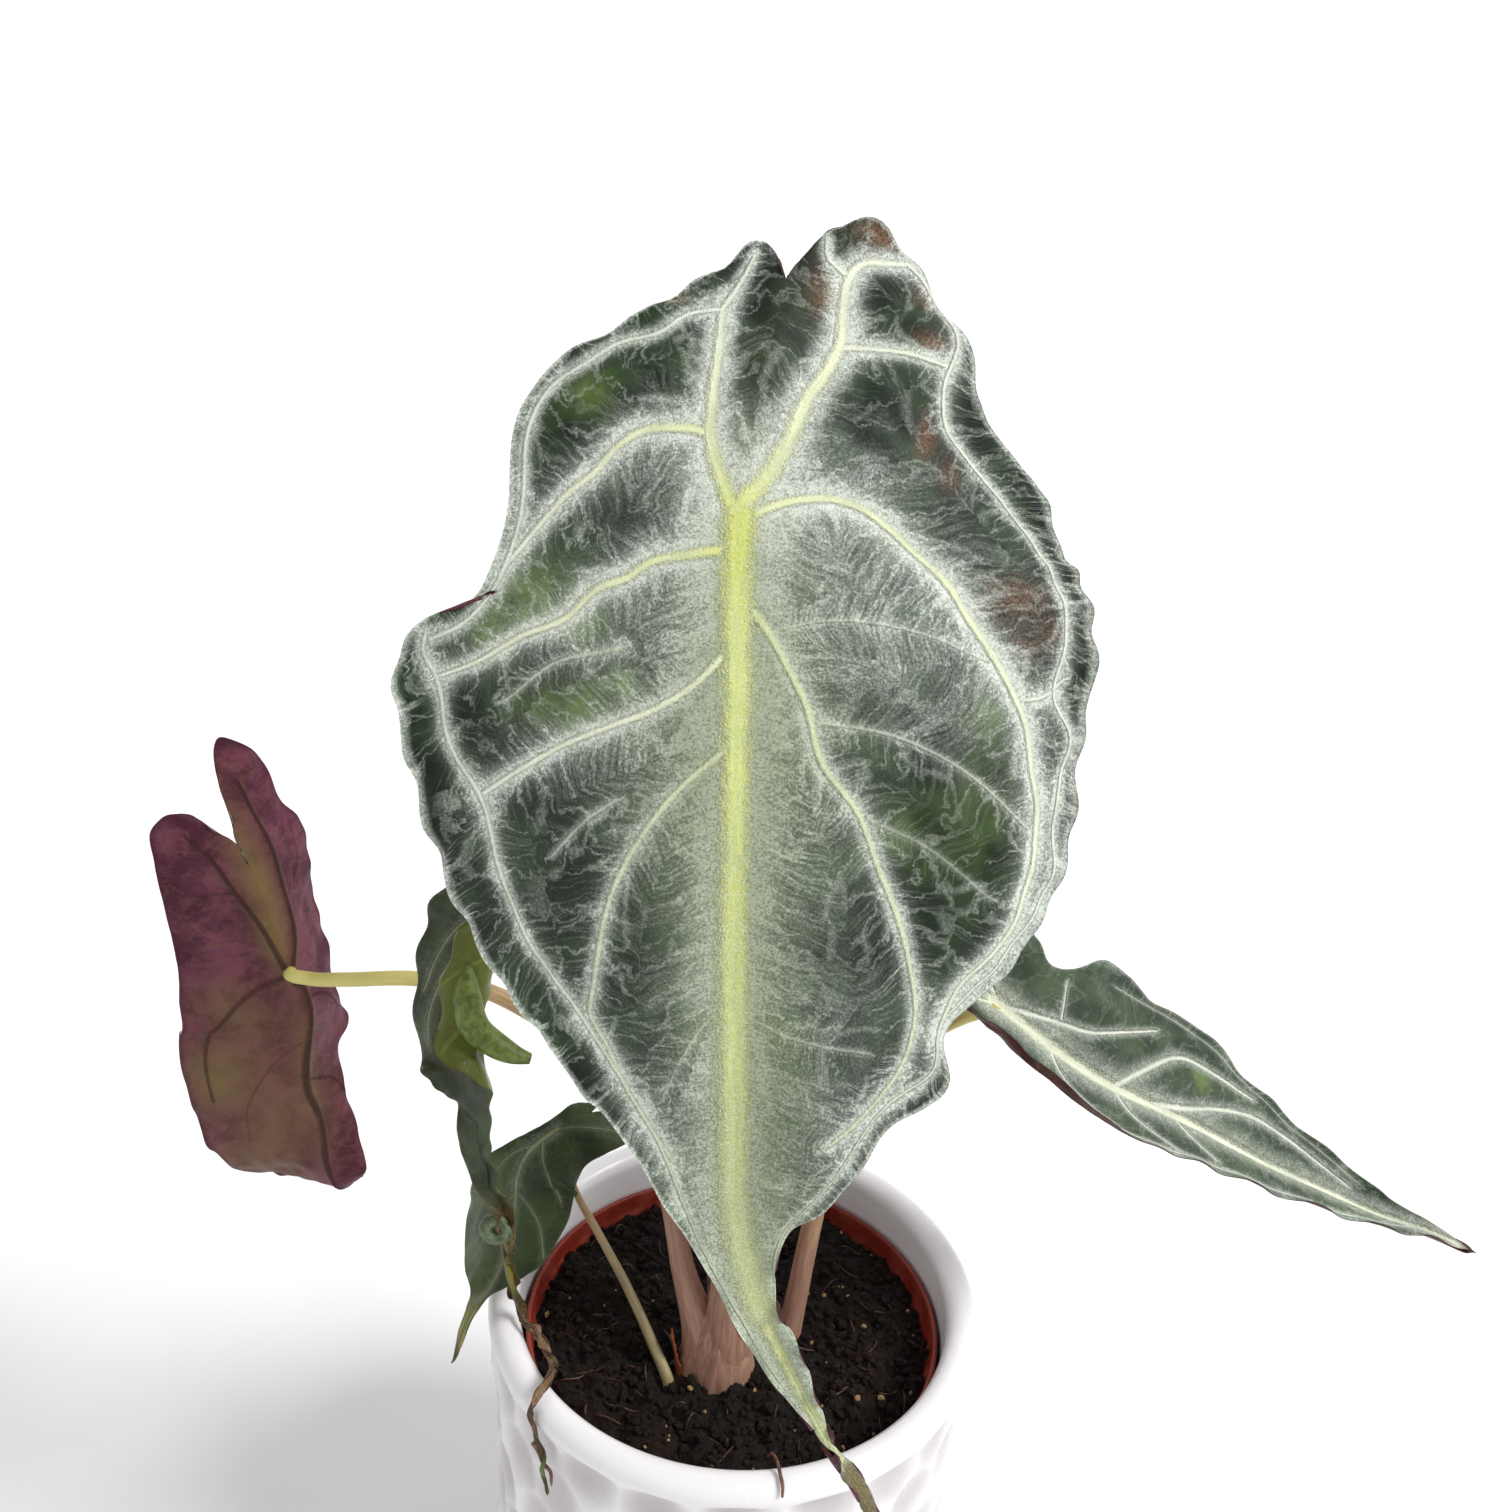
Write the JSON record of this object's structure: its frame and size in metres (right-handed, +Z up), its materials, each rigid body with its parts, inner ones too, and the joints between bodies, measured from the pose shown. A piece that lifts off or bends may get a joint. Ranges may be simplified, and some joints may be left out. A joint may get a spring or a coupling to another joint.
{
  "type": "potted alocasia",
  "caption": "Potted alocasia: shield-shaped veined leaves on tall stalks, in a plastic nursery pot of soil inside a dimpled white ceramic cover pot.",
  "frame": {"origin": "middle of the cover pot's flat base", "axes": "+Z up; the large blade hangs towards -Y; the purple-backed blade is on -X and the long folded blade on +X"},
  "size_m": [0.3665, 0.1833, 0.429],
  "materials": {
    "white_glaze": "gloss",
    "terracotta_plastic": "satin",
    "potting_soil": "matte",
    "pink_stalk": "satin",
    "green_stalk": "satin",
    "dry_sheath": "matte",
    "blade_green": "satin",
    "blade_purple": "satin",
    "blade_olive": "satin"
  },
  "bodies": {
    "root": {"cover_pot": "white_glaze", "nursery_pot": "terracotta_plastic", "soil": "potting_soil", "stem_base": "pink_stalk", "dry_sheath": "dry_sheath", "main_stalk": "pink_stalk", "left_stalk": "pink_stalk", "right_stalk": "pink_stalk", "curled_stalk": "pink_stalk", "low_stalk": "green_stalk", "main_leaf": "blade_green", "left_leaf": "blade_purple", "right_leaf": "blade_green", "curled_leaf": "blade_olive", "low_leaf": "blade_olive"}
  },
  "joints": []
}
